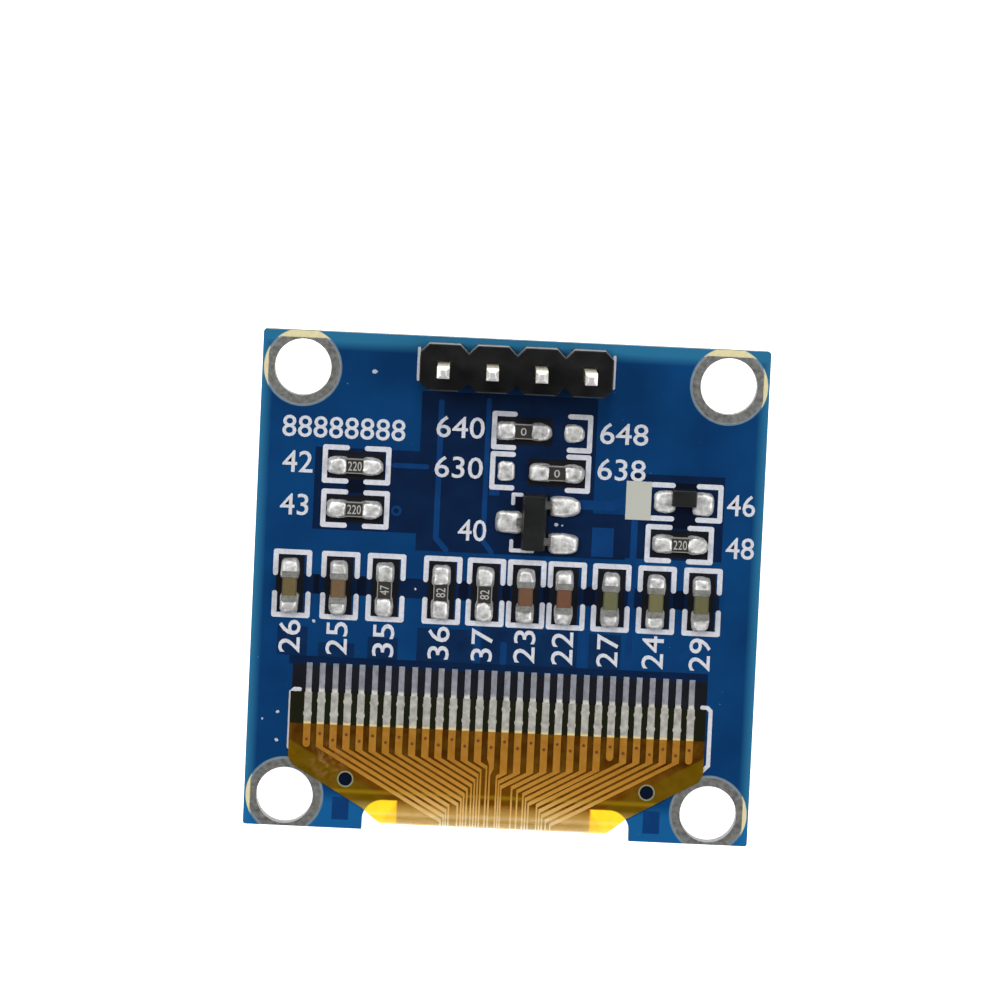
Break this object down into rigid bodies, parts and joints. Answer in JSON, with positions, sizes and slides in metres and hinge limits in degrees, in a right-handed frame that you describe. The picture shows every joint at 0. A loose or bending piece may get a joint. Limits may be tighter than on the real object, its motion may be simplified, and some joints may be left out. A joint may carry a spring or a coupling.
{
  "type": "small oled display module",
  "caption": "Small OLED display module lying face down: blue carrier board with a four pin header, chip parts, four mounting holes and a folded amber flexible tail soldered to a row of fingers.",
  "frame": {"origin": "middle of the board's outline, at the level of the display's outer face", "axes": "+X along the board's width, left to right as seen from the component side with the header at the top; +Y towards the header edge; +Z from the display to the component side"},
  "size_m": [0.0268, 0.0264, 0.0115],
  "materials": {
    "solder_mask": "semi_gloss",
    "tinned_copper": "satin",
    "solder": "gloss",
    "print_ink": "matte",
    "black_plastic": "satin",
    "pin_metal": "gloss",
    "resistor_coat": "gloss",
    "capacitor_ceramic": "satin",
    "end_cap_metal": "satin",
    "moulded_body": "satin",
    "polyimide_film": "gloss",
    "trace_copper": "gloss",
    "finger_metal": "satin",
    "glass": "gloss",
    "dark_film": "gloss",
    "bond_adhesive": "matte",
    "foam": "matte"
  },
  "bodies": {
    "root": {"pcb": "solder_mask", "mounting_rings": "tinned_copper", "silkscreen": "print_ink", "header_housing": "black_plastic", "header_pin_1": "pin_metal", "header_pin_2": "pin_metal", "header_pin_3": "pin_metal", "header_pin_4": "pin_metal", "header_solder": "solder", "resistor_1": "resistor_coat", "resistor_2": "resistor_coat", "resistor_3": "resistor_coat", "resistor_4": "resistor_coat", "resistor_5": "resistor_coat", "resistor_6": "resistor_coat", "resistor_7": "resistor_coat", "resistor_8": "resistor_coat", "capacitor_1": "capacitor_ceramic", "capacitor_2": "capacitor_ceramic", "capacitor_3": "capacitor_ceramic", "capacitor_4": "capacitor_ceramic", "capacitor_5": "capacitor_ceramic", "capacitor_6": "capacitor_ceramic", "capacitor_7": "capacitor_ceramic", "chip_end_caps": "end_cap_metal", "regulator_body": "moulded_body", "regulator_leads": "end_cap_metal", "diode_body": "moulded_body", "diode_leads": "end_cap_metal", "component_solder": "solder", "spare_pads": "solder", "finger_lands": "tinned_copper", "finger_solder": "solder", "flex_film": "polyimide_film", "flex_fingers": "finger_metal", "flex_traces": "trace_copper", "polariser": "dark_film", "front_glass": "glass", "emitter_layer": "dark_film", "cover_glass": "glass", "driver_chip": "moulded_body", "tail_bond": "bond_adhesive", "foam_tape": "foam"}
  },
  "joints": []
}
